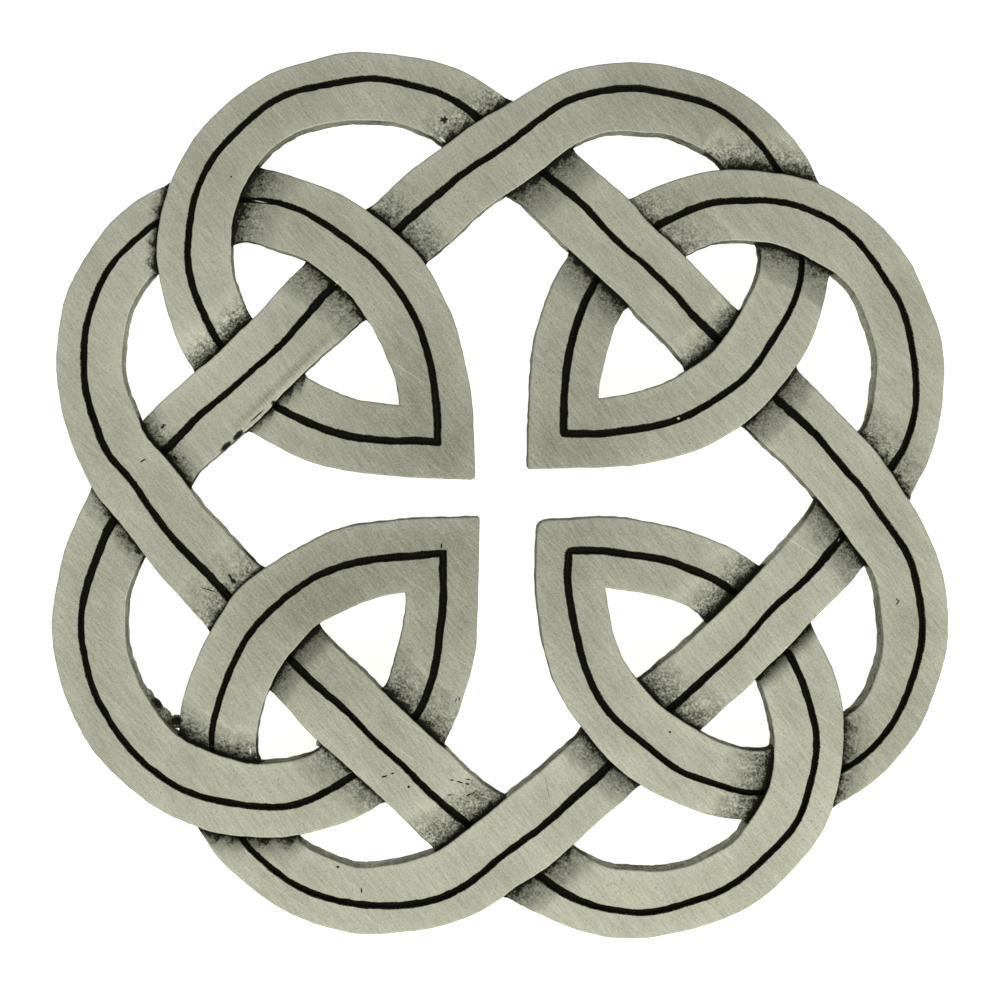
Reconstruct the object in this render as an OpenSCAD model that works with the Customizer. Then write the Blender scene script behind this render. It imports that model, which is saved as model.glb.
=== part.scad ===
// A cast plaid brooch: two flat strands plaited into a four-petalled knot, each with a
// dark groove along it, and a plain pin fitting hidden behind the upper left strand.
// It lies face up on its fitting. The origin is on the surface, under its middle.

/* [Knot] */
// Width of the whole knot across its left and right lobes
knot_w = 75; // [70:1:90]
// Thickness of the cast strands
strand_t = 2.8; // [2.2:0.1:4]
// Angle between the two sides of a petal at its tip
tip_turn = 88; // [80:1:96]
// How far a strand dips before it goes under another
dip_d = 0.9; // [0.8:0.05:1.1]
// Length of the slope down to the crossing strand
dip_l = 2.2; // [1.5:0.1:3]

/* [Groove] */
// Width of the groove cut along each strand
groove_w = 0.55; // [0.4:0.05:0.8]
// Depth of the groove
groove_d = 0.6; // [0.4:0.05:0.7]

/* [Pin fitting] */
// Length of the bar behind the strand
bar_l = 33; // [28:1:34]
// Width of the bar, the hinge block and the catch
bar_w = 4.4; // [3.6:0.2:4.6]
// Thickness of the bar
bar_t = 0.8; // [0.6:0.1:1]
// Height of the fitting from the surface to the solder
fitting_h = 3.4; // [3:0.1:4]
// Diameter of the pin stem
stem_d = 1.2; // [1:0.1:1.4]
// Thickness of the solder between the bar and the strand
solder_t = 0.05; // [0.05:0.05:0.1]

/* [Hidden] */
$fn = 32;
pewter = [0.66, 0.67, 0.59];
steel = [0.74, 0.75, 0.76];

// Columns of the chart, one for each kind of place that a strand passes.
TIP = 0;
NEAR = 1;
FAR = 2;
LOBES = 3;
CROWN_IN = 4;
CROWN_OUT = 5;
CORNER = 6;

// The chart of the knot, in mm, x to the right and y up. A row is a quarter of the knot,
// clockwise from the upper left. Its columns are the petal tip, the two crossings of the
// petal with the diagonal, first and second clockwise, the crossing of the two lobes, a
// place on each lobe, and the corner where the quarter begins.
CHART_W = 75;
CHART_MIDDLE = [0.1, 0.1];
CHART = [
  [[-5.1, 4.5], [-21.1, 9.9], [-10.9, 19.7], [-25.1, 23.9], [-32.6, 4.5], [-6.3, 33.6], [-30.1, 0.8]],
  [[5.4, 5.2], [10.6, 20.6], [20.6, 10.4], [24.5, 23.7], [6.8, 32.7], [33.8, 5.7], [0.9, 29.2]],
  [[6.2, -4.9], [22.1, -10.4], [11.6, -20.0], [25.6, -23.8], [34.2, -6.4], [10.4, -34.1], [30.7, -0.3]],
  [[-4.4, -5.1], [-9.3, -21.2], [-19.8, -10.9], [-22.7, -25.2], [-5.1, -33.0], [-34.2, -12.6], [0.5, -29.6]],
];

// The strand at each kind of place, in the order of the chart's columns: its width, and
// how far the groove keeps to the outer side of its middle.
STRAND = [[5.9, 0], [6.4, 0.1], [6.5, 0.35], [6.0, 0.6], [5.8, 0.6], [5.9, 0.6], [6.4, 0.3]];

// How much fuller the cast strand is in each quarter.
FULLER = [0, -0.1, -0.2, 0.2];

chart_scale = knot_w / CHART_W;
back_z = fitting_h + solder_t;

// The most that a strand's outline turns at one point, and the least steps in a span.
step_turn = 5;
least_steps = 3;
// How far short of a crossing's middle a strand ends under it.
tuck = 0.5;
// Half the length of the cutter of a dip, and how far cutters pass a face.
dip_reach = 11;
overcut = 1;

// Places in the chart at the driven size. Quarters count round, so 4 is 0 again.
function place(q, column) = (CHART[(q + 4) % 4][column] - CHART_MIDDLE) * chart_scale;
function strand_w(q, column) = (STRAND[column][0] + FULLER[(q + 4) % 4]) * chart_scale;
function groove_shift(column) = STRAND[column][1] * chart_scale;
function stop(q, column) = concat(place(q, column), [strand_w(q, column), groove_shift(column)]);

// One of the four lengths of strand between two petal tips. It leaves the tip of the
// quarter before q, runs along q's diagonal and ends at the tip of the quarter after.
function strand(q) = [
  stop(q - 1, TIP), stop(q - 1, NEAR), stop(q - 1, LOBES), stop(q - 1, CROWN_OUT),
  stop(q, CORNER), stop(q, NEAR), stop(q, FAR), stop(q + 1, CORNER),
  stop(q + 1, CROWN_IN), stop(q + 1, LOBES), stop(q + 1, FAR), stop(q + 1, TIP)
];

function xy(s) = [s.x, s.y];
function wrapped(a) = a - 360 * round(a / 360);
function toward(a) = [cos(a), sin(a)];
function bearing(a, b) = atan2(b.y - a.y, b.x - a.x);

// Heading at b of the circle through a, b and c.
function circle_heading(a, b, c) =
  let (u = norm(b - a), v = norm(c - b), turn = wrapped(bearing(b, c) - bearing(a, b)))
  bearing(a, b) + atan2(u * sin(turn), v + u * cos(turn));

// The upper left petal turns round its tip heading down and to the left, and each quarter
// is a right angle further clockwise.
function tip_axis(q) = -135 - 90 * q;
function tip_in(q) = tip_axis(q) + tip_turn / 2;
function tip_out(q) = tip_axis(q) - tip_turn / 2;

// Headings of strand q at its stops.
function headings(q) =
  let (s = strand(q), last = len(s) - 1)
  [for (i = [0 : last])
    i == 0 ? tip_out(q - 1) :
    i == last ? tip_in(q + 1) :
    circle_heading(xy(s[i - 1]), xy(s[i]), xy(s[i + 1]))];

// A row of the swept strand at t, from 0 to 1, between two stops: x, y, heading, width and
// groove shift. The middle follows a cubic whose pull makes an even bend close to an arc.
function swept(a, b, ha, hb, t) =
  let (
    pull = norm(xy(b) - xy(a)) / pow(cos(wrapped(hb - ha) / 4), 2),
    va = pull * toward(ha),
    vb = pull * toward(hb),
    p = (2 * t ^ 3 - 3 * t ^ 2 + 1) * xy(a) + (t ^ 3 - 2 * t ^ 2 + t) * va
      + (3 * t ^ 2 - 2 * t ^ 3) * xy(b) + (t ^ 3 - t ^ 2) * vb,
    v = 6 * (t ^ 2 - t) * (xy(a) - xy(b)) + (3 * t ^ 2 - 4 * t + 1) * va + (3 * t ^ 2 - 2 * t) * vb,
    ease = 3 * t ^ 2 - 2 * t ^ 3
  )
  [p.x, p.y, atan2(v.y, v.x), a[2] + (b[2] - a[2]) * ease, a[3] + (b[3] - a[3]) * ease];

// Rows from stop i to stop i + 1 of strand q. A span that begins or ends under another
// strand keeps short of the crossing. Any other leaves its last row to the span after.
function span(q, i, start_tuck = 0, end_tuck = 0) =
  let (
    s = strand(q),
    h = headings(q),
    l = norm(xy(s[i + 1]) - xy(s[i])),
    n = max(least_steps, ceil(abs(wrapped(h[i + 1] - h[i])) / step_turn)),
    t0 = start_tuck / l,
    t1 = 1 - end_tuck / l
  )
  [for (k = [0 : end_tuck > 0 ? n : n - 1]) swept(s[i], s[i + 1], h[i], h[i + 1], t0 + (t1 - t0) * k / n)];

// The rows of the four kinds of run. A run comes up from under one crossing, passes over
// the next and goes down under the one after. A petal's has a part before and after its tip.
function lobe_out_rows(q) = concat(span(q, 1, start_tuck = tuck), span(q, 2), span(q, 3, end_tuck = tuck));
function diagonal_rows(q) = concat(span(q, 4, start_tuck = tuck), span(q, 5, end_tuck = tuck));
function lobe_in_rows(q) = concat(span(q, 6, start_tuck = tuck), span(q, 7), span(q, 8, end_tuck = tuck));
function petal_rows_in(q) = concat(span(q, 9, start_tuck = tuck), span(q, 10));
function petal_rows_out(q) = span(q + 2, 0, end_tuck = tuck);

// Points beside the rows: side 1 is to the left of the strand's way and -1 to the right.
// A width of 0 stands for the strand's own edges, and any other for a groove's.
function beside(rows, side, w) =
  [for (r = rows) xy(r) + (w > 0 ? side * w / 2 + r[4] : side * r[3] / 2) * toward(r[2] + 90)];

function backwards(points) = [for (i = [len(points) - 1 : -1 : 0]) points[i]];

// The outline of a run without a tip.
function outline(rows, w = 0) = concat(beside(rows, 1, w), backwards(beside(rows, -1, w)));

// The outline of a petal, mitred at its tip. Points past the mitre line are left out, and
// so is the row at the tip itself.
function petal_outline(q, w = 0) =
  let (
    tip = place(q + 1, TIP),
    along = toward(tip_axis(q + 1)),
    outward = toward(tip_axis(q + 1) + 90),
    mitre = (w > 0 ? w : strand_w(q + 1, TIP)) / 2 / cos(tip_turn / 2),
    before = petal_rows_in(q),
    after = petal_rows_out(q),
    edge = function(side) concat(
      [for (p = beside(before, side, w)) if ((p - tip) * along < 0) p],
      [tip + side * mitre * outward],
      [for (p = beside(after, side, w)) if ((p - tip) * along > mitre / 2) p])
  )
  concat(edge(1), backwards(edge(-1)));

// The cutter of a dip beside a crossing strand. It lies along that strand's heading, and
// its slope is on the side that the heading `into` leads to.
module dip(at, over_heading, over_w, into) {
  side = cos(into - over_heading - 90) > 0 ? 90 : -90;
  edge = over_w / 2;
  translate([at.x, at.y, strand_t])
  rotate([0, 0, over_heading + side])
  rotate([90, 0, 0])
  linear_extrude(2 * dip_reach, center = true)
  polygon([[-overcut, -dip_d], [edge, -dip_d], [edge + dip_l, 0], [edge + dip_l, overcut], [-overcut, overcut]]);
}

// The dip where strand q goes under at stop i, below stop j of strand r. The run that dips
// leads on from the crossing where way is 1, and up to it where way is -1.
module dip_at(q, i, r, j, way) {
  under = strand(q)[i];
  dip(under, headings(r)[j], strand(r)[j][2], headings(q)[i] + (way > 0 ? 0 : 180));
}

// One run of strand: a grooved bar, cut down by the dips given as children.
module run(body_points, groove_points) {
  difference() {
    linear_extrude(strand_t) polygon(body_points);
    translate([0, 0, strand_t - groove_d]) linear_extrude(groove_d + overcut) polygon(groove_points);
    children();
    intersection() {
      linear_extrude(strand_t + overcut) polygon(groove_points);
      translate([0, 0, -groove_d]) children();
    }
  }
}

// The lobe that leaves a petal: from under the diagonal, over the other lobe of its
// quarter, and down under the next corner.
module lobe_out(q) {
  rows = lobe_out_rows(q);
  run(outline(rows), outline(rows, groove_w)) {
    dip_at(q, 1, q - 1, 5, 1);
    dip_at(q, 4, q - 1, 7, -1);
  }
}

// The diagonal: from under the corner, over the first side of the petal, under the other.
module diagonal(q) {
  rows = diagonal_rows(q);
  run(outline(rows), outline(rows, groove_w)) {
    dip_at(q, 4, q - 1, 7, 1);
    dip_at(q, 6, q - 1, 10, -1);
  }
}

// The lobe that goes into a petal: from under the petal's side, over the corner, and down
// under the other lobe of the next quarter.
module lobe_in(q) {
  rows = lobe_in_rows(q);
  run(outline(rows), outline(rows, groove_w)) {
    dip_at(q, 6, q - 1, 10, 1);
    dip_at(q, 9, q + 2, 2, -1);
  }
}

// The petal: from under the lobe, over the diagonal, round the tip, under the diagonal.
module petal(q) {
  run(petal_outline(q), petal_outline(q, groove_w)) {
    dip_at(q, 9, q + 2, 2, 1);
    dip_at(q + 2, 1, q + 1, 5, -1);
  }
}

// The cast knot, one solid with a flat back.
module knot() {
  color(pewter) translate([0, 0, back_z]) union() {
    for (q = [0 : 3]) {
      lobe_out(q);
      diagonal(q);
      lobe_in(q);
      petal(q);
    }
  }
}

// The fitting lies along the upper left diagonal, between its two crossings of the petal.
bar_from = place(0, NEAR);
bar_to = place(0, FAR);
hinge_l = 4.2;
catch_l = 3;
stem_z = 1.5;
stem_point_l = 3;
stem_point_d = 0.3;
stem_l = bar_l - hinge_l / 2 - stem_point_l;
// Room round the stem in the catch, and the height of the catch's mouth.
catch_room = 0.25;
catch_mouth = 0.9;

// The pin fitting: a flat bar with a hinge block at one end, a catch at the other, and a
// pointed stem between them, made as one plain piece.
module pin_back() {
  block_h = fitting_h - bar_t / 2;
  color(steel)
  translate((bar_from + bar_to) / 2)
  rotate([0, 0, bearing(bar_from, bar_to)])
  union() {
    translate([-bar_l / 2, -bar_w / 2, fitting_h - bar_t]) cube([bar_l, bar_w, bar_t]);
    translate([-bar_l / 2, -bar_w / 2, 0]) cube([hinge_l, bar_w, block_h]);
    difference() {
      translate([bar_l / 2 - catch_l, -bar_w / 2, 0]) cube([catch_l, bar_w, block_h]);
      translate([0, 0, stem_z]) rotate([0, 90, 0]) cylinder(h = bar_l, d = stem_d + 2 * catch_room);
      translate([0, -bar_w, stem_z - catch_mouth / 2]) cube([bar_l, bar_w, catch_mouth]);
    }
    translate([-bar_l / 2 + hinge_l / 2, 0, stem_z]) rotate([0, 90, 0]) {
      cylinder(h = stem_l, d = stem_d);
      translate([0, 0, stem_l]) cylinder(h = stem_point_l, d1 = stem_d, d2 = stem_point_d);
    }
  }
}

knot();
pin_back();
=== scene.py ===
import cmath
import math

import bpy
import numpy as np
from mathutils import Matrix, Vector, noise


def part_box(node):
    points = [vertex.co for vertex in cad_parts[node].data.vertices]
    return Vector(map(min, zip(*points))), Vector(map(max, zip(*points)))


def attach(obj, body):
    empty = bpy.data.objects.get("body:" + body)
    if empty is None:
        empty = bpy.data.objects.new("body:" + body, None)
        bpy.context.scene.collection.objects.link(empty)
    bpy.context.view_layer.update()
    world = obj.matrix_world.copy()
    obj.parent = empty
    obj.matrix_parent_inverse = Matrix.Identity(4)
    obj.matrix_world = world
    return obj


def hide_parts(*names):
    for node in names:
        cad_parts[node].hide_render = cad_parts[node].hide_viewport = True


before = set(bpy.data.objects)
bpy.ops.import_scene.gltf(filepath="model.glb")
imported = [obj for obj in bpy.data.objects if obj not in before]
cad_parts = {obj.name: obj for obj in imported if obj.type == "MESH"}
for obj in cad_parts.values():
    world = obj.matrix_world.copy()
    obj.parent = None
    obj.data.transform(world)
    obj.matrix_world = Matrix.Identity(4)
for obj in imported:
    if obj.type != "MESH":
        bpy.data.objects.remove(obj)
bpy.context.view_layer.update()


# The camera looks straight down on the face of the brooch from about 0.2 m above it, a
# little up and left of its middle, as the narrow strips of wall in the openings show. The
# lens is shifted so that the brooch fills the picture.
mm = 0.001
face_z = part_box("knot")[1].z
camera_x = -6.5 * mm
camera_y = 4.5 * mm
camera_height = 200 * mm
picture_side = 1000
pixels_per_mm = 11.954
knot_middle_px = (499.8, 494.7)

bpy.ops.object.select_all(action="DESELECT")
bpy.ops.object.camera_add(location=(camera_x, camera_y, face_z + camera_height), rotation=(0, 0, 0))
camera = bpy.context.object
camera.name = "camera"
camera.data.sensor_width = 36
camera.data.lens = pixels_per_mm * camera_height / mm * camera.data.sensor_width / picture_side
foot_px = (
    knot_middle_px[0] + camera_x / mm * pixels_per_mm,
    knot_middle_px[1] - camera_y / mm * pixels_per_mm,
)
camera.data.shift_x = 0.5 - foot_px[0] / picture_side
camera.data.shift_y = foot_px[1] / picture_side - 0.5
camera.data.clip_start = 0.01
camera.data.dof.use_dof = False
bpy.context.scene.camera = camera


# The studio: a white sheet under the brooch, and an even white sky round it as in a light
# tent, brightest below the brooch, where one large soft lamp stands.
def plain_look(name, colour, roughness, glow=0.0):
    look = bpy.data.materials.new(name)
    look.use_nodes = True
    shader = look.node_tree.nodes["Principled BSDF"]
    shader.inputs["Base Color"].default_value = (*colour, 1)
    shader.inputs["Roughness"].default_value = roughness
    shader.inputs["Emission Color"].default_value = (1, 1, 1, 1)
    shader.inputs["Emission Strength"].default_value = glow
    return look


sheet_side = 2
sheet_white = (0.9, 0.9, 0.9)
sheet_glow = 0.7
bpy.ops.mesh.primitive_plane_add(size=sheet_side, location=(0, 0, 0))
sheet = bpy.context.object
sheet.name = "white_sheet"
sheet.data.materials.append(plain_look("white_sheet", sheet_white, roughness=0.9, glow=sheet_glow))


class Wire:
    """A socket of a node tree, which adds Math nodes when it is reckoned with."""

    def __init__(self, tree, socket=None):
        self.tree = tree
        self.socket = socket

    def node(self, kind, settings, sockets, output=0):
        made = self.tree.nodes.new(kind)
        for name, value in settings.items():
            setattr(made, name, value)
        for name, value in sockets.items():
            if isinstance(value, Wire):
                self.tree.links.new(value.socket, made.inputs[name])
            else:
                made.inputs[name].default_value = value
        return Wire(self.tree, made.outputs[output])

    def math(self, operation, *values):
        return self.node("ShaderNodeMath", {"operation": operation}, dict(enumerate(values)))

    def __add__(self, other):
        return self.math("ADD", self, other)

    def __sub__(self, other):
        return self.math("SUBTRACT", self, other)

    def __rsub__(self, other):
        return self.math("SUBTRACT", other, self)

    def __mul__(self, other):
        return self.math("MULTIPLY", self, other)

    __radd__ = __add__
    __rmul__ = __mul__

    def between(self, low, high):
        """0 at low, 1 at high, and smooth between them."""
        return self.node(
            "ShaderNodeMapRange", {"interpolation_type": "SMOOTHSTEP"},
            {"Value": self, "From Min": low, "From Max": high})

    def speckle(self, size, detail=2.0, roughness=0.5, turn=0.0, stretch=(1, 1, 1)):
        """Noise of that grain size on the object, 0 to 1, turned and stretched as asked."""
        place = self.node("ShaderNodeTexCoord", {}, {}, "Object")
        laid = self.node("ShaderNodeMapping", {"vector_type": "TEXTURE"}, {
            "Vector": place,
            "Rotation": (0, 0, turn),
            "Scale": [size * s for s in stretch],
        })
        return self.node("ShaderNodeTexNoise", {}, {
            "Vector": laid, "Scale": 1.0, "Detail": detail, "Roughness": roughness})

    def mark(self, name):
        """What the mesh is marked with under that name."""
        return self.node("ShaderNodeAttribute", {"attribute_name": name}, {}, "Fac")

    def mixed(self, a, b):
        """The colour a where self is 0 and b where it is 1."""
        return self.node(
            "ShaderNodeMix", {"data_type": "RGBA"},
            {"Factor": self, "A": a, "B": b}, "Result")


sky = bpy.data.worlds.new("light_tent")
sky.use_nodes = True
sky_strength = 0.88
sky_at_foot = 0.35
sky_full_height = 0.8
sky_slope = (0.15, -0.6, 0)
start = Wire(sky.node_tree)
way_up = start.node("ShaderNodeTexCoord", {}, {}, "Generated")
height = start.node("ShaderNodeSeparateXYZ", {}, {"Vector": way_up}, "Z")
slope = start.node(
    "ShaderNodeVectorMath", {"operation": "DOT_PRODUCT"}, {0: way_up, 1: sky_slope}, "Value")
up_the_sky = sky_at_foot + (1 - sky_at_foot) * height.between(0.0, sky_full_height)
strength = sky_strength * up_the_sky * (slope + 1.0)
background = sky.node_tree.nodes["Background"]
background.inputs["Color"].default_value = (1, 1, 1, 1)
sky.node_tree.links.new(strength.socket, background.inputs["Strength"])
bpy.context.scene.world = sky
bpy.context.scene.view_settings.view_transform = "Standard"

lamp_place = (0.2, -0.45, 0.7)
lamp_size = 0.8
lamp_watts = 0.9
bpy.ops.object.light_add(type="AREA", location=lamp_place)
lamp = bpy.context.object
lamp.name = "soft_lamp"
lamp.data.size = lamp_size
lamp.data.energy = lamp_watts
lamp.rotation_euler = (-lamp.location).to_track_quat("-Z", "Y").to_euler()


# The knot: one flat-backed pewter casting of two strands plaited into four petals. Its top
# is linished flat, its edges are eased, a groove is cut along each strand, and a strand is
# cut down where it goes under another.
TIP, NEAR, FAR, LOBES, CROWN_IN, CROWN_OUT, CORNER = range(7)

# The chart of the knot, in mm, x to the right and y up. A row is a quarter of the knot,
# clockwise from the upper left. Its columns are the petal tip, the two crossings of the
# petal with the diagonal, the crossing of the two lobes, a place on each lobe, and the
# corner where the quarter begins. The middle of the knot lies at chart_middle in it.
chart_middle = 0.1 + 0.1j
chart = [
    [-5.1 + 4.5j, -21.1 + 9.9j, -10.9 + 19.7j, -25.1 + 23.9j, -32.6 + 4.5j, -6.3 + 33.6j, -30.1 + 0.8j],
    [5.4 + 5.2j, 10.6 + 20.6j, 20.6 + 10.4j, 24.5 + 23.7j, 6.8 + 32.7j, 33.8 + 5.7j, 0.9 + 29.2j],
    [5.87 - 4.65j, 22.1 - 10.4j, 11.6 - 20.0j, 25.6 - 23.8j, 34.2 - 6.4j, 10.4 - 34.1j, 30.7 - 0.3j],
    [-4.68 - 4.85j, -9.3 - 21.2j, -19.8 - 10.9j, -22.7 - 25.2j, -5.1 - 33.0j, -34.2 - 12.6j, 0.5 - 29.6j],
]
# Width of the strand and shift of its groove at each kind of place, and how much fuller
# the casting is in each quarter.
strand_width = [5.9, 6.4, 6.5, 6.0, 5.8, 5.9, 6.4]
groove_shift = [0, 0.1, 0.35, 0.6, 0.6, 0.6, 0.3]
fuller = [0, -0.1, -0.2, 0.2]
# Width of the groove at each stop of a strand: it opens where the strand dips.
groove_width = [0.6, 0.6, 0.5, 0.5, 0.75, 0.45, 0.7, 0.5, 0.55, 0.45, 0.5, 0.6]
# How much flatter than a round the inner edges of each strand's two lobes run.
lobe_flat = [0, 0.5, 0.5, 0.5]

back_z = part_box("knot")[0].z / mm
strand_t = (face_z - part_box("knot")[0].z) / mm
# The angle between the two sides of a petal's tip, how far a length of strand stops short of
# the middle of the crossing at its end, and the step from row to row along it.
tip_turn = math.radians(88)
tuck = 0.5
row_step = 0.35
# Depth of a dip and of the groove.
dip_d = 0.9
groove_d = 0.6
# The web of metal in the corner where the edges of two strands meet.
web = 0.22
web_fade = 0.3
# Width of the black line along the strand above a dip.
corner_line = 0.22
# Lanes run along each side of a strand: so many of them over its eased edge, and so many in
# all as far as the middle of its groove.
edge_lanes, side_lanes = 5, 10
edge_round = 0.09
edge_turns = [0, math.pi / 6, math.pi / 3, math.pi / 2]
# How far the lanes beside the eased edge, and the two beside the groove's lip, are from it,
# how deep the lip is, and how far across the groove its floor begins.
edge_lane = 0.08
outer_lip_lane, lip_lane = 0.14, 0.05
lip_d = 0.05
floor_part = 0.5
# How the handwork strays: at what pace along the strand, in mm, and how far at most, in mm
# for the groove's line and the edge, and as a part of their size for its lip and depth.
line_pace, line_stray = 5, 0.3
edge_pace, edge_stray = 4, 0.25
fine_pace, fine_stray = 0.6, 0.05
lip_pace, lip_stray = 0.6, 0.26
depth_pace, depth_stray = 2, 0.3
layer_apart = 7.3
# Heights of the rings round the rough cast wall, how rough it is, the size of its grain, and
# how far off the noise for its y is read.
wall_rings = [1.5, 0.8, 0]
roughness = 0.09
wall_grain, wall_grain_z = 0.8, 0.5
noise_apart = Vector((50, 0, 0))
# A little, in mm: what is that near to a height counts as on it.
little = 0.1
# How far each petal's tip is worn round on its outer edge, its groove and its inner edge, and
# in how many steps the lanes bend there.
tip_round = [0.45, 0.3, 0.95, 0.25]
groove_round = [0.4, 0.4, 0.7, 0.08]
inner_round = 0.12
tip_rows = 5

# How far the stain and the slope reach from each crossing strand, in mm. A row is a
# quarter. Its columns are the start and end of the outgoing lobe, the diagonal, the
# incoming lobe and the petal.
dip_reach = [
    [3, 1.5, 2.5, 3.5, 4, 3.5, 3, 3],
    [3, 3.5, 3.5, 2.5, 2.5, 2, 4, 3.5],
    [4, 3.5, 3, 4, 2.5, 1, 3, 4],
    [1, 2.5, 4, 2, 4, 1, 4, 0.5],
]
# How strong the stain is in it: how dark at the crossing strand, and in what part of the
# reach it fades to a third.
faint, grey, black = (0.5, 0.65), (0.8, 0.5), (1.2, 0.35)
dip_stain = [
    [faint, faint, black, grey, grey, black, grey, black],
    [black, grey, black, black, grey, faint, grey, black],
    [faint, faint, grey, grey, grey, grey, black, grey],
    [black, grey, grey, grey, faint, grey, black, faint],
]
# How much darker the corner of a dip is, how dark at most, how far a faint dip goes down as a
# part of dip_d, and how much of its slope is straight.
corner_darker, corner_most = 2.2, 1.4
least_deep = 0.1
straight_part = 0.35
# How much of a strand is looked at round a crossing, and the distance that counts as far off.
crossing_near = 7
far_off = 9


def stop(q, place):
    """A place of the chart: where it is, the strand's width and the groove's shift there."""
    q %= 4
    return chart[q][place] - chart_middle, strand_width[place] + fuller[q], groove_shift[place]


def stops(q):
    """Stops of strand q, which leaves one petal's tip, runs along diagonal q and ends at another tip.

    A stop is its place, with how far the left edge, the right edge and the groove are from it,
    and the groove's width.
    """
    passed = [
        stop(q - 1, TIP), stop(q - 1, NEAR), stop(q - 1, LOBES), stop(q - 1, CROWN_OUT),
        stop(q, CORNER), stop(q, NEAR), stop(q, FAR), stop(q + 1, CORNER),
        stop(q + 1, CROWN_IN), stop(q + 1, LOBES), stop(q + 1, FAR), stop(q + 1, TIP),
    ]
    return [
        (at, np.array([width / 2, width / 2, shift, cut]))
        for (at, width, shift), cut in zip(passed, groove_width)
    ]


def tip_axis(q):
    """Heading across the tip of quarter q's petal, halfway between those of its two sides."""
    return math.radians(-135 - 90 * q)


def headings(q):
    """Heading of the strand at each stop: that of the circle through three stops, and fixed at a tip."""
    at = [s[0] for s in stops(q)]
    found = [tip_axis(q - 1) - tip_turn / 2]
    for a, b, c in zip(at, at[1:], at[2:]):
        turn = cmath.phase((c - b) / (b - a))
        found.append(
            cmath.phase(b - a)
            + math.atan2(abs(b - a) * math.sin(turn), abs(c - b) + abs(b - a) * math.cos(turn))
        )
    return found + [tip_axis(q + 1) + tip_turn / 2]


def span(q, i, start_tuck=0.0, end_tuck=0.0):
    """Rows of the strand from one stop to the next: middle, heading, and the sizes across.

    The middle follows a cubic curve with the strand's headings at its ends, near to an arc. The
    sizes are the distances of the left edge, the right edge and the groove, and its width.
    """
    (a, sizes_a), (b, sizes_b) = stops(q)[i:i + 2]
    flatter = np.array([0, lobe_flat[q % 4] if i in (2, 8) else 0, 0, 0])
    ha, hb = headings(q)[i:i + 2]
    chord = abs(b - a)
    turn = cmath.phase(cmath.rect(1, hb - ha))
    pull = chord / math.cos(turn / 4) ** 2
    va, vb = cmath.rect(pull, ha), cmath.rect(pull, hb)
    t0, t1 = start_tuck / chord, 1 - end_tuck / chord
    steps = math.ceil(chord / row_step)
    rows = []
    for k in range(steps + (end_tuck > 0)):
        t = t0 + (t1 - t0) * k / steps
        ease = t * t * (3 - 2 * t)
        middle = a + (b - a) * ease + va * t * (1 - t) ** 2 - vb * t * t * (1 - t)
        way = 6 * t * (1 - t) * (b - a) + va * (1 - t) * (1 - 3 * t) - vb * t * (2 - 3 * t)
        sizes = sizes_a + (sizes_b - sizes_a) * ease - flatter * (4 * t * (1 - t)) ** 2
        rows.append((middle, way / abs(way), sizes))
    return rows


def wander(p, pace, amount, layer):
    """A smooth unevenness of handwork at a place, the same each time. Each layer has its own."""
    return amount * noise.noise(Vector((p.real / pace, p.imag / pace, layer_apart * layer)))


def lanes(row, layer):
    """Points across the strand at a row: distance to the left of its middle, depth, groove and edge.

    The groove is 1 on its floor and 0.5 at its lips. The edge is the distance from the strand's edge.
    """
    middle, way, (left, right, line, cut) = row
    line += wander(middle, line_pace, line_stray, layer + 3)
    across = []
    for side, half in ((1, left), (-1, right)):
        half += (
            wander(middle, edge_pace, edge_stray, layer + side)
            + wander(middle, fine_pace, fine_stray, layer + side)
        )
        lip = cut / 2 * (1 + wander(middle, lip_pace, lip_stray, layer + 6 + side))
        depth = groove_d * (1 + wander(middle, depth_pace, depth_stray, layer + 9))
        near, far = line + side * lip, side * (half - edge_round - edge_lane)
        flat = abs(far - near)
        eased = [
            (side * (half - edge_round * (1 - math.cos(a))), edge_round * (1 - math.sin(a)), 0, 0)
            for a in edge_turns
        ]
        across.append(eased + [
            (far, 0, 0, edge_round), ((far + near) / 2, 0, 0, flat / 2),
            (near + side * outer_lip_lane, 0, 0, flat), (near + side * lip_lane, 0, 0.25, flat),
            (near, lip_d, 0.5, flat), (line + side * lip * floor_part, depth, 1, flat),
        ])
    return across[0] + across[1][::-1]


def along_lanes(rows, layer):
    """For each lane, its points down the rows as complex numbers, then their depths and marks."""
    across = np.array([lanes(r, layer) for r in rows])
    middle = np.array([r[0] for r in rows])
    way = np.array([r[1] for r in rows])
    paths = (middle[:, None] + across[..., 0] * way[:, None] * 1j).T
    return paths, *across[..., 1:].transpose(2, 1, 0)


def respaced(path, count, cut=0.0):
    """The same path, cut short by that much, with that many points evenly apart."""
    gone = np.concatenate([[0], np.cumsum(np.abs(np.diff(path)))])
    want = np.linspace(0, gone[-1] - cut, count)
    return np.interp(want, gone, path.real) + 1j * np.interp(want, gone, path.imag)


def up_to_line(path, ahead):
    """The path as far as the line where ahead is 0, made longer in its own way if it falls short."""
    if ahead[-1] < 0:
        grow = ahead[-1] / (ahead[-2] - ahead[-1])
        return np.append(path, path[-1] + (path[-1] - path[-2]) * grow)
    k = len(path) - int(np.argmax(ahead[::-1] < 0))
    part = -ahead[k - 1] / (ahead[k] - ahead[k - 1])
    return np.append(path[:k], path[k - 1] + (path[k] - path[k - 1]) * part)


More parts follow.
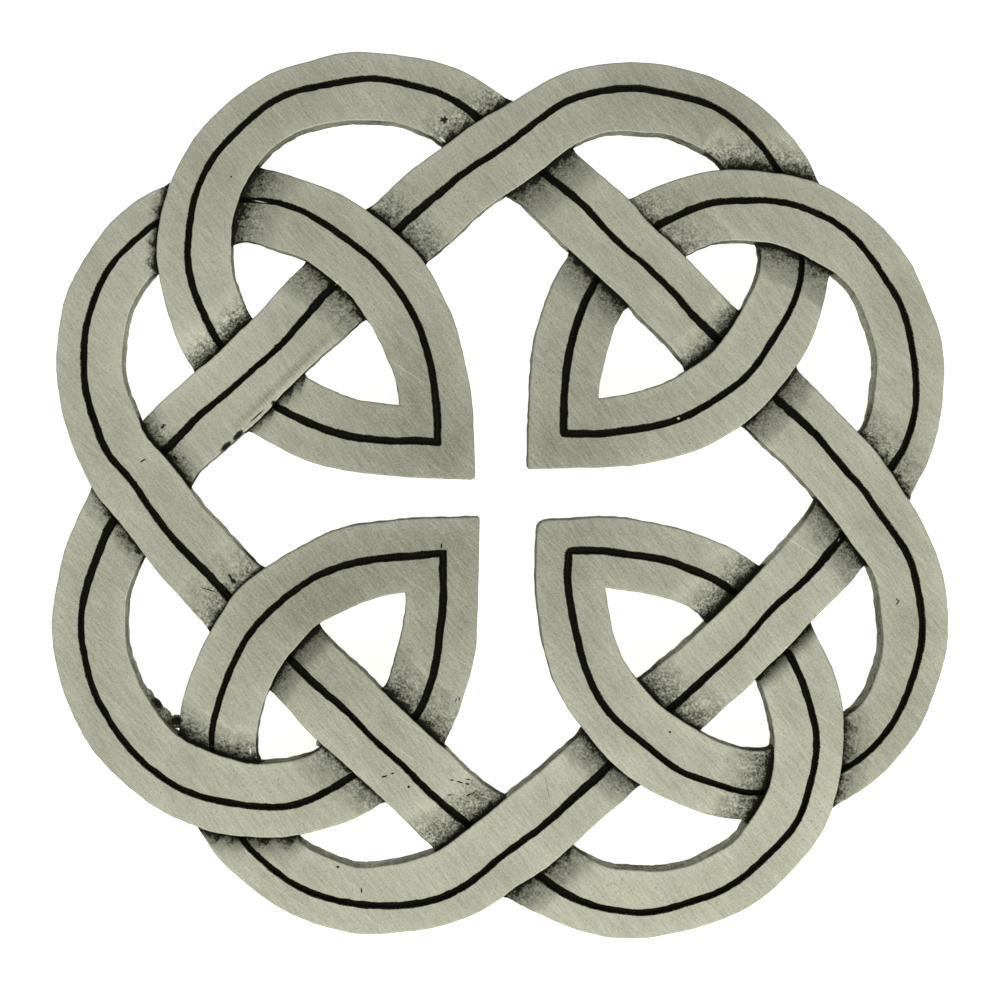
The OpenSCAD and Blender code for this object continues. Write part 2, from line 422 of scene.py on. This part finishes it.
def mitred(before, after, layer, q):
    """The lanes of a petal, which meet on the mitre line through its tip in a small round."""
    tip = stop(q + 1, TIP)[0]
    along = cmath.rect(1, tip_axis(q + 1))
    marks_in, marks_out = along_lanes(before, layer), along_lanes(after, layer)
    cuts = [tip_round[(q + 1) % 4]] * edge_lanes
    cuts += [groove_round[(q + 1) % 4]] * (side_lanes - edge_lanes) + [inner_round] * side_lanes
    paths = []
    for first, second, cut in zip(marks_in[0], marks_out[0], cuts):
        first = up_to_line(first, ((first - tip) * along.conjugate()).real)
        second = up_to_line(second[::-1], -((second[::-1] - tip) * along.conjugate()).real)
        corner = (first[-1] + second[-1]) / 2
        first = respaced(np.append(first[:-1], corner), len(before), cut)
        second = respaced(np.append(second[:-1], corner), len(after), cut)[::-1]
        turn = np.arange(1, tip_rows) / tip_rows
        bend = (1 - turn) ** 2 * first[-1] + 2 * turn * (1 - turn) * corner + turn ** 2 * second[0]
        paths.append(np.concatenate([first, bend, second]))
    marks = [
        np.concatenate([a, np.repeat(b[:, :1], tip_rows - 1, axis=1), b], axis=1)
        for a, b in zip(marks_in[1:], marks_out[1:])
    ]
    return np.array(paths), *marks


def strand_line(q):
    """The whole middle of strand q, with its headings and sizes."""
    rows = [r for i in range(len(groove_width) - 1) for r in span(q, i)]
    return [np.array(column) for column in zip(*rows)]


def across_strand(p, q, i):
    """How far the points p are to the left of strand q's middle near its stop i, and the sizes there."""
    middle, way, sizes = strand_line(q)
    near = np.abs(middle - stops(q)[i][0]) < crossing_near
    middle, way, sizes = middle[near], way[near], sizes[near]
    nearest = np.abs(p[..., None] - middle).argmin(-1)
    return ((p - middle[nearest]) * way[nearest].conjugate()).imag, sizes[nearest]


def distance_outside(p, q, i):
    """How far the points p are outside the edge of strand q, near its stop i."""
    off, sizes = across_strand(p, q, i)
    return np.abs(off) - np.where(off > 0, sizes[..., 0], sizes[..., 1])


def corner_stain(dark):
    """How dark a dip is in its corner, along the strand above."""
    return min(corner_darker * dark, corner_most)


def length_of_strand(name, paths, depths, grooves, edges, crossings):
    """One length of strand as a closed mesh: a grid laid along its lanes and extruded down.

    A crossing is its strand and stop, the strand above and its stop there, and the reach,
    darkness and fade of the dip.
    """
    columns, rows = paths.shape
    outside = np.full(paths.shape, far_off, float)
    dip, drop, stain = np.zeros((3, *paths.shape))
    for q, i, over_q, over_i, reach, dark, fade in crossings:
        near = np.abs(paths - stops(q)[i][0]) < far_off
        here = np.where(near, distance_outside(paths, over_q, over_i), far_off)
        beyond, under = np.clip(here, 0, far_off), np.clip(-here, 0, far_off)
        share = np.clip(1 - here / reach, 0, 1)
        deep = np.clip(min(max(dark, least_deep), 1) + under, 0, 1)
        slope = straight_part * share + (1 - straight_part) * share ** 2
        outside = np.minimum(outside, beyond)
        dip = np.maximum(dip, share)
        drop = np.maximum(drop, dip_d * deep * slope)
        stain = np.maximum(stain, dark * np.exp(-beyond / fade))
        stain = np.maximum(stain, corner_stain(dark) * np.exp(-(beyond / corner_line) ** 2))
    for side in (slice(None), slice(None, None, -1)):
        lanes_in = paths[side]
        outward = lanes_in[0] - lanes_in[edge_lanes + 1]
        grown = web * np.exp(-outside[side][0] / web_fade)
        lanes_in[:edge_lanes] += grown * outward / np.abs(outward)
    z = back_z + strand_t - depths - drop
    bpy.ops.object.select_all(action="DESELECT")
    bpy.ops.mesh.primitive_grid_add(x_subdivisions=rows - 1, y_subdivisions=columns - 1, size=2)
    piece = bpy.context.object
    piece.name = name
    mesh = piece.data
    places = np.stack([paths.real, paths.imag, z], -1)
    mesh.vertices.foreach_set("co", places.reshape(-1) * mm)
    for mark, values in (("groove", grooves), ("edge", edges), ("stain", stain), ("dip", dip)):
        mesh.attributes.new(mark, "FLOAT", "POINT").data.foreach_set("value", values.reshape(-1))
    mesh.update()
    bpy.ops.object.mode_set(mode="EDIT")
    bpy.ops.mesh.select_all(action="SELECT")
    for height in wall_rings:
        bpy.ops.mesh.extrude_region_move(TRANSFORM_OT_translate={"value": (0, 0, -little * mm)})
        bpy.ops.transform.resize(value=(1, 1, 0), center_override=(0, 0, (back_z + height) * mm))
    bpy.ops.mesh.select_all(action="SELECT")
    bpy.ops.mesh.normals_make_consistent(inside=False)
    bpy.ops.object.mode_set(mode="OBJECT")
    for vertex in mesh.vertices:
        x, y, z = vertex.co / mm
        if z < back_z + wall_rings[0] + little:
            at = Vector((x / wall_grain, y / wall_grain, z / wall_grain_z))
            rough = Vector((noise.noise(at), noise.noise(at + noise_apart), 0))
            vertex.co += rough * roughness * mm
    return piece


def run_rows(q, first, last):
    """Rows of the spans from stop first to stop last, short of the crossings at both ends."""
    rows = []
    for i in range(first, last):
        rows += span(q, i, tuck if i == first else 0, tuck if i == last - 1 else 0)
    return rows


def joined(piece, other, operation):
    """The piece with the other added or cut away."""
    bpy.ops.object.select_all(action="DESELECT")
    bpy.context.view_layer.objects.active = piece
    piece.select_set(True)
    bpy.ops.object.modifier_add(type="BOOLEAN")
    change = piece.modifiers[-1]
    change.operation = operation
    change.solver = "MANIFOLD"
    change.object = other
    bpy.ops.object.modifier_apply(modifier=change.name)
    bpy.data.objects.remove(other)


# Three lengths follow each other along a strand, and the fourth goes round a petal's tip. A row
# here is a length's name, its first and last stop, and the strand above each end with its stop.
# A corner is a crossing with 1 where the length starts from it, or -1 where it ends there.
lengths = []
corners = []
for q in range(4):
    dips = [(reach, dark, part * reach) for reach, (dark, part) in zip(dip_reach[q], dip_stain[q])]
    for k, (name, first, last, over_first, over_last) in enumerate((
        ("lobe_out", 1, 4, (q - 1, 5), (q - 1, 7)),
        ("diagonal", 4, 6, (q - 1, 7), (q - 1, 10)),
        ("lobe_in", 6, 9, (q - 1, 10), (q + 2, 2)),
    )):
        laid = along_lanes(run_rows(q, first, last), 2 * side_lanes * len(lengths))
        crossings = [(q, first, *over_first, *dips[2 * k]), (q, last, *over_last, *dips[2 * k + 1])]
        lengths.append(length_of_strand(name, *laid, crossings))
        corners += zip((1, -1), crossings)
    before = span(q, 9, start_tuck=tuck) + span(q, 10)
    after = span(q + 2, 0, end_tuck=tuck)[1:]
    laid = mitred(before, after, 2 * side_lanes * len(lengths), q)
    crossings = [(q, 9, q + 2, 2, *dips[6]), (q + 2, 1, q + 1, 5, *dips[7])]
    lengths.append(length_of_strand("petal", *laid, crossings))
    corners += zip((1, -1), crossings)

knot = lengths[0]
for other in lengths[1:]:
    joined(knot, other, "UNION")

# In the corner of each dip, where the two strands were joined, the stain goes on up the wall
# of the strand above, and the groove runs on to that wall. Only what lies between the top and
# the back counts, near to that wall and to the strand that dips.
below_top, above_back = 0.05, 0.4
near_wall, near_dip = 0.25, 0.35
count = len(knot.data.vertices)
places = np.empty(3 * count)
knot.data.vertices.foreach_get("co", places)
x, y, z = places.reshape(-1, 3).T / mm
marks = {}
for name in ("stain", "dip", "groove"):
    marks[name] = np.empty(count)
    knot.data.attributes[name].data.foreach_get("value", marks[name])
for side, (q, i, over_q, over_i, reach, dark, fade) in corners:
    away = x + 1j * y - stops(q)[i][0]
    ahead = side * (away * cmath.rect(1, -headings(q)[i])).real
    on_wall = (z > back_z + above_back) & (z < back_z + strand_t - below_top)
    close = np.flatnonzero((np.abs(away) < crossing_near) & (ahead > 0) & on_wall)
    p = x[close] + 1j * y[close]
    met = np.abs(distance_outside(p, over_q, over_i)) < near_wall
    met &= distance_outside(p, q, i) < near_dip
    off, sizes = across_strand(p, q, i)
    cut = met & (np.abs(off - sizes[:, 2]) < sizes[:, 3] / 2)
    marks["stain"][close[met]] = np.maximum(marks["stain"][close[met]], corner_stain(dark))
    marks["dip"][close[met]] = 1
    marks["groove"][close[cut]] = 1
# The back is plain: the grid's marks came down with it when it was extruded.
for values in marks.values():
    values[z < back_z + little] = 0

# The linishing left the top darker or brighter in a few places: x, y and size in mm, and how much.
shades = [(-14, -10, 5, -0.3), (-27, 13, 5, 0.3), (35, -18, 5, -0.2), (18, 34, 5, -0.2), (-8, 8, 2, -0.2)]
knot.data.attributes.new("shade", "FLOAT", "POINT")
marks["shade"] = sum(
    amount * np.exp(-((x - at_x) ** 2 + (y - at_y) ** 2) / (2 * size ** 2))
    for at_x, at_y, size, amount in shades
)
for name, values in marks.items():
    knot.data.attributes[name].data.foreach_set("value", values)

# Rough flash that the mould left on the walls: x, y, length and thickness in mm, and turn in
# degrees. The middle of a lump lies flash_z above the back, and its round is rough.
flash_z = 1.1
flash_rough = 0.12
flash = [
    (-27.2, -19.15, 1.3, 1.1, 0), (-28.2, -18.6, 1.5, 0.95, -48), (-28.9, -17.75, 1.5, 0.8, -52),
    (-29.5, -16.9, 1.2, 0.6, -56), (-15.1, -20.95, 0.7, 0.6, 30),
]
for k, (x, y, length, thick, turn) in enumerate(flash):
    bpy.ops.object.select_all(action="DESELECT")
    bpy.ops.mesh.primitive_ico_sphere_add(subdivisions=4, radius=mm)
    lump = bpy.context.object
    bpy.ops.object.mode_set(mode="EDIT")
    bpy.ops.mesh.select_all(action="SELECT")
    bpy.ops.transform.vertex_random(offset=flash_rough * mm, seed=k)
    bpy.ops.mesh.normals_make_consistent(inside=False)
    bpy.ops.object.mode_set(mode="OBJECT")
    lump.scale = (length / 2, thick / 2, 1)
    lump.rotation_euler = (0, 0, math.radians(turn))
    lump.location = (x * mm, y * mm, (back_z + flash_z) * mm)
    bpy.ops.object.transform_apply(location=True, rotation=True, scale=True)
    joined(knot, lump, "UNION")
knot.name = "cast_knot"
bpy.ops.object.select_all(action="DESELECT")
knot.select_set(True)
bpy.context.view_layer.objects.active = knot
bpy.ops.object.shade_smooth_by_angle(angle=math.radians(32))


def finish(name):
    """A new metal look and the wire that its nodes start from."""
    look = bpy.data.materials.new(name)
    look.use_nodes = True
    return look, Wire(look.node_tree)


def connect(wire, look, name):
    """The wire goes to that input of the look."""
    look.node_tree.links.new(wire.socket, look.node_tree.nodes["Principled BSDF"].inputs[name])


# The pewter is linished in two directions across its top, which leaves it between a dull and
# a bright tone. Its cast skin and its grooves are blackened. The marks of use and casting on
# it, and the painted shade and highlights of its dent and burrs, fade out stroke_depth below the face, in
# mm.
dull_pewter, bright_pewter = (0.22, 0.224, 0.159, 1), (0.58, 0.592, 0.463, 1)
black_skin = (0.022, 0.023, 0.016, 1)
black_groove, dusty_groove = (0.004, 0.004, 0.003, 1), (0.028, 0.03, 0.02, 1)
# A painted highlight: the colour of the glints on the burrs.
burr_glint_colour = (0.8, 0.82, 0.68, 1)
brush_turn, cross_turn = math.radians(-46), math.radians(-60)
stroke_depth = 2

pewter, start = finish("brushed_pewter")
place = start.node("ShaderNodeTexCoord", {}, {}, "Object")
brushing = start.speckle(mm, 3, 0.65, brush_turn, (3.5, 0.12, 3.5))
cross_brushing = start.speckle(mm, 2, 0.5, cross_turn, (2.5, 0.1, 2.5))
grain = start.speckle(0.17 * mm, 2, 0.8)
patches = start.speckle(6 * mm, 4, 0.6)
pits = start.speckle(0.2 * mm, 2, 0.6)
from_middle = start.node("ShaderNodeVectorMath", {"operation": "LENGTH"}, {0: place}, "Value")
edge = start.mark("edge")
scratches = (
    start.speckle(mm, 1, 0.4, math.radians(-33), (9, 0.07, 9)).between(0.66, 0.76)
    + start.speckle(mm, 1, 0.4, math.radians(-55), (7, 0.06, 7)).between(0.68, 0.78)
)
specks = (pits + 0.25 * (patches - 0.5)).between(0.66, 0.74)
shake = 0.8 * (grain - 0.5)


def away_from(x, y, length, width, turn):
    """How far off a short stroke is, 1 on its rim: a place in mm, length, width and turn."""
    laid = start.node("ShaderNodeMapping", {"vector_type": "TEXTURE"}, {
        "Vector": place,
        "Location": (x * mm, y * mm, face_z),
        "Rotation": (0, 0, math.radians(turn)),
        "Scale": (length / 2 * mm, width / 2 * mm, stroke_depth * mm),
    })
    return start.node("ShaderNodeVectorMath", {"operation": "LENGTH"}, {0: laid}, "Value")


def strokes(rows, soft=0.3):
    """1 in any of the strokes, 0 outside them. The nearest counts, found as each is made."""
    away = away_from(*rows[0])
    for row in rows[1:]:
        away = away.math("MINIMUM", away, away_from(*row))
    return 1 - (away + shake).between(1 - soft, 1 + soft)


# Nicks and pits of use and casting: x, y, length and width in mm, and turn in degrees.
nicks = [
    (-4.65, 31.38, 0.75, 0.24, 15), (-4.62, 31.38, 0.75, 0.24, 80), (-4.67, 31.36, 0.7, 0.24, 140),
    (-28.23, 5.68, 0.45, 0.22, 50), (-28.1, 5.85, 0.4, 0.12, -10), (-27.23, 3.07, 0.6, 0.35, -40),
    (-29.85, 2.86, 0.5, 0.14, 30), (-22.3, -7.25, 0.6, 0.4, -45), (-22.55, -6.9, 0.8, 0.22, -60),
    (-24.37, -7.96, 1.3, 0.1, -17), (-7.63, -24.45, 0.26, 0.22, 60), (-9.66, -23.57, 0.5, 0.16, 15),
    (-8.98, -23.31, 0.25, 0.15, 0), (-4.0, -23.87, 0.26, 0.12, -10), (-3.33, -24.06, 0.55, 0.12, -20),
    (-2.7, -24.21, 0.36, 0.16, -10), (-2.65, -23.82, 0.4, 0.1, -5), (-4.17, -25.13, 0.4, 0.11, 5),
    (-2.6, -25.15, 0.4, 0.17, 20), (-2.2, -24.95, 0.8, 0.1, 32), (-1.9, -25.17, 0.36, 0.11, 0),
    (-1.45, -25.15, 0.25, 0.12, 0), (-11.57, -33.1, 0.42, 0.13, 90), (-13.55, -31.13, 0.25, 0.2, 0),
    (-3.66, -17.17, 0.4, 0.1, 80), (-3.41, -17.09, 0.36, 0.1, 85), (33.3, -9.02, 0.5, 0.1, 55),
    (33.25, -8.8, 0.3, 0.1, -50), (14.24, -19.85, 0.2, 0.18, 0), (-22.48, 26.6, 0.16, 0.15, 0),
    (-22.9, 4.03, 1.1, 0.5, 43), (-21.9, 4.95, 1.1, 0.5, 45), (-18.75, 7.6, 0.8, 0.5, -20),
    (-4.88, -4.3, 0.5, 0.16, 90), (-20.3, 6.6, 1.6, 0.12, 42), (-27.15, -19.0, 1.3, 1.0, 0),
    (-28.7, -17.5, 1.9, 0.8, -50),
]
# Painted highlights: glints on the burrs that the graver raised at the ends of grooves, in the same
# columns.
burr_glints = [
    (-20.15, 24.62, 1.4, 0.12, -12), (-13.7, 17.7, 0.5, 0.16, 40), (-13.1, 17.2, 0.4, 0.14, -35),
    (28.4, -2.95, 0.4, 0.12, 20), (28.55, -3.85, 0.45, 0.12, 60), (24.1, -12.85, 0.5, 0.16, -25),
    (-20.9, -21.5, 0.14, 0.5, 0), (-24.1, -21.25, 0.5, 0.14, -30), (-4.75, 29.75, 0.6, 0.14, -40),
    (15.0, 6.38, 0.24, 0.2, 0),
]
# Faint hairline scratches, in the same columns.
hairs = [
    (-11.95, 35.35, 0.6, 0.1, 10), (-11.6, 35.65, 0.5, 0.1, 60), (9.0, -32.7, 0.6, 0.09, 38),
    (9.6, -32.55, 0.65, 0.09, -14), (10.2, -32.2, 0.55, 0.09, 60), (10.5, -31.7, 0.45, 0.09, 40),
    (-11.42, -21.88, 0.9, 0.09, -60), (-23.0, 22.2, 2.4, 0.08, 92), (4.0, -24.6, 2.2, 0.09, -80),
]
# A long dent along the lower edge of the upper left diagonal, painted on and not in the mesh: painted
# shade along its hollow, and a painted highlight along its rolled side.
dent_shade_stroke, dent_highlight_stroke = (-18.3, 9.35, 9.5, 0.7, 44), (-18.0, 9.0, 9.5, 0.5, 44)
nicked = strokes(nicks)
scored = strokes(hairs)
burr_glint_mask = strokes(burr_glints)
dent_painted_shade = strokes([dent_shade_stroke], soft=0.8)
dent_painted_highlight = strokes([dent_highlight_stroke], soft=0.7)

# The tone is 0 where the top is dull and 1 where it is bright. It is duller towards the middle
# of the brooch, and each other thing adds its part to it: the dent adds painted shade along its
# hollow and a painted highlight along its rolled side.
tone = (
    0.285 + 0.27 * from_middle.between(6 * mm, 24 * mm) + 0.08 * (1 - edge.between(0.1, 1.2))
    + 0.7 * (brushing - 0.5) + 0.5 * (cross_brushing - 0.5) + 0.95 * (grain - 0.5)
    + 0.6 * (patches - 0.5) + 0.36 * scratches - 0.35 * dent_painted_shade + 0.15 * dent_painted_highlight
    - 0.3 * scored - 0.5 * specks + start.mark("shade")
)
metal_colour = tone.mixed(dull_pewter, bright_pewter)

# The dips were not linished: they keep a grey, pitted cast skin, blackest in the corner
# along the strand above, and some end at a ragged line. The walls have the same skin.
stain, dip, groove = start.mark("stain"), start.mark("dip"), start.mark("groove")
ragged = start.speckle(0.7 * mm, 3, 0.6)
abrupt = start.speckle(7 * mm, 1, 0.5).between(0.42, 0.58)
zone = (dip + 0.3 * (ragged - 0.5)).between(0.0, 0.32 - 0.28 * abrupt) * dip.between(0.0, 0.05)
skin = 2.0 * (pits - 0.5) + 1.2 * (ragged - 0.5)
stained = (stain + skin * stain.between(0.0, 0.45)) * zone

normal = start.node("ShaderNodeNewGeometry", {}, {}, "Normal")
upward = start.node("ShaderNodeSeparateXYZ", {}, {"Vector": normal}, "Z")
wall = 1 - (upward + 0.25 * (grain - 0.5)).between(0.1, 0.6)
back = (-1 * upward).between(0.5, 0.95)
wall_dark = (0.5 + 0.5 * dip.between(0.1, 0.7) - 0.3 * back + 1.6 * (patches - 0.5) + 0.7 * skin) * wall
darkened = stained.math("MAXIMUM", stained, wall_dark)
# Where a burr's painted highlight lies, the darkness and the groove's black are left out.
darkened = darkened.math("MAXIMUM", darkened, nicked) * (1 - burr_glint_mask)
frayed_groove = (groove + 1.1 * (pits - 0.5) + 0.35 * (grain - 0.5)).between(0.34, 0.5)
blackened = frayed_groove * groove.between(0, 0.05) * (1 - burr_glint_mask)
worn_colour = darkened.mixed(metal_colour, black_skin)
groove_colour = pits.mixed(black_groove, dusty_groove)
# The glints on the burrs are painted highlights, mixed into the colour.
burr_glinted_colour = (0.7 * burr_glint_mask).mixed(worn_colour, burr_glint_colour)
connect(blackened.mixed(burr_glinted_colour, groove_colour), pewter, "Base Color")
oxide = darkened.math("MAXIMUM", darkened, blackened)
connect(1 - 0.9 * oxide.math("MAXIMUM", oxide.between(0.0, 1.0), wall), pewter, "Metallic")
connect(0.42 + 0.3 * oxide + 0.2 * (grain - 0.5), pewter, "Roughness")
pewter.node_tree.nodes["Principled BSDF"].inputs["Specular IOR Level"].default_value = 0.0
relief = 0.5 * brushing + 0.3 * cross_brushing + (0.6 + 1.2 * dip) * grain
bump = start.node("ShaderNodeBump", {}, {"Strength": 0.4, "Distance": 0.03 * mm, "Height": relief})
connect(bump, pewter, "Normal")

knot.data.materials.clear()
knot.data.materials.append(pewter)
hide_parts("knot")
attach(knot, "root")


# The pin fitting: a plain drawn-steel bar with a hinge block, a catch and a pointed stem,
# soldered along the back of the upper left diagonal, where the strand hides it.
bar_from = stop(0, NEAR)[0]
bar_to = stop(0, FAR)[0]
bar_middle = (bar_from + bar_to) / 2
bar_turn = cmath.phase(bar_to - bar_from)
bar_l, bar_w, bar_t = 33, 4.4, 0.8
fitting_h = 3.4
block_h = fitting_h - bar_t / 2
hinge_l, catch_l = 4.2, 3
stem_d, stem_z, stem_point_l, stem_tip_d = 1.2, 1.5, 3, 0.3
catch_room, catch_mouth = 0.25, 0.9
bar_ease, block_ease, mouth_ease = 0.15, 0.5, 0.05
# A cutter goes past the metal, and the point starts inside the stem and a hair thinner.
past, inside, hair = 1, 0.01, 0.001
dull_steel, bright_steel = (0.33, 0.34, 0.34, 1), (0.62, 0.63, 0.64, 1)
brown_tarnish = (0.16, 0.14, 0.11, 1)


def block(name, low, high, ease):
    """A block between two corners, in mm along the bar, with its edges eased."""
    bpy.ops.object.select_all(action="DESELECT")
    bpy.ops.mesh.primitive_cube_add(size=1, location=[(a + b) / 2 * mm for a, b in zip(low, high)])
    piece = bpy.context.object
    piece.name = name
    piece.scale = [(b - a) * mm for a, b in zip(low, high)]
    bpy.ops.object.transform_apply(location=True, rotation=False, scale=True)
    bpy.ops.object.mode_set(mode="EDIT")
    bpy.ops.mesh.select_all(action="SELECT")
    bpy.ops.mesh.bevel(offset=ease * mm, segments=3, affect="EDGES")
    bpy.ops.object.mode_set(mode="OBJECT")
    return piece


def rod(name, start_x, length, d, d_end, z):
    """A round rod along the bar, with its ends at the two diameters."""
    bpy.ops.object.select_all(action="DESELECT")
    bpy.ops.mesh.primitive_cone_add(
        vertices=32, radius1=d / 2 * mm, radius2=d_end / 2 * mm, depth=length * mm,
        location=((start_x + length / 2) * mm, 0, z * mm), rotation=(0, math.pi / 2, 0))
    bpy.ops.object.transform_apply(location=True, rotation=True, scale=True)
    bpy.context.object.name = name
    return bpy.context.object


half_l, half_w = bar_l / 2, bar_w / 2
bar_low, bar_high = (-half_l, -half_w, fitting_h - bar_t), (half_l, half_w, fitting_h)
fitting = block("pin_fitting", bar_low, bar_high, bar_ease)
hinge = block("hinge", (-half_l, -half_w, 0), (hinge_l - half_l, half_w, block_h), block_ease)
catch_x = half_l - catch_l
catch = block("catch", (catch_x, -half_w, 0), (half_l, half_w, block_h), block_ease)
bore_d = stem_d + 2 * catch_room
joined(catch, rod("bore", catch_x - past, catch_l + 2 * past, bore_d, bore_d, stem_z), "DIFFERENCE")
mouth_low = (catch_x - past, -half_w - past, stem_z - catch_mouth / 2)
mouth_high = (half_l + past, 0, stem_z + catch_mouth / 2)
joined(catch, block("mouth", mouth_low, mouth_high, mouth_ease), "DIFFERENCE")
stem_start = -half_l + hinge_l / 2
stem_l = bar_l - hinge_l / 2 - stem_point_l
stem = rod("stem", stem_start, stem_l, stem_d, stem_d, stem_z)
point_start = stem_start + stem_l - inside
joined(stem, rod("point", point_start, stem_point_l, stem_d - hair, stem_tip_d, stem_z), "UNION")
for part in (hinge, catch, stem):
    joined(fitting, part, "UNION")
fitting.rotation_euler = (0, 0, bar_turn)
fitting.location = (bar_middle.real * mm, bar_middle.imag * mm, 0)
bpy.ops.object.transform_apply(location=True, rotation=True, scale=True)
bpy.ops.object.shade_smooth_by_angle(angle=math.radians(35))

steel, start = finish("drawn_steel")
drawn = start.speckle(mm, 3, 0.6, bar_turn, (8, 0.08, 0.08))
smoke = start.speckle(2.5 * mm, 3, 0.6)
grain = start.speckle(0.12 * mm, 2, 0.6)
tone = 0.5 + 0.8 * (drawn - 0.5) + 0.8 * (smoke - 0.5)
clean_colour = tone.mixed(dull_steel, bright_steel)
tarnish = smoke.between(0.55, 0.75)
connect((0.6 * tarnish).mixed(clean_colour, brown_tarnish), steel, "Base Color")
steel.node_tree.nodes["Principled BSDF"].inputs["Metallic"].default_value = 1.0
connect(0.3 + 0.2 * tarnish + 0.1 * (grain - 0.5), steel, "Roughness")
relief = drawn + 0.3 * grain
bump = start.node("ShaderNodeBump", {}, {"Strength": 0.3, "Distance": 0.02 * mm, "Height": relief})
connect(bump, steel, "Normal")
fitting.data.materials.append(steel)
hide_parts("pin_back")
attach(fitting, "root")
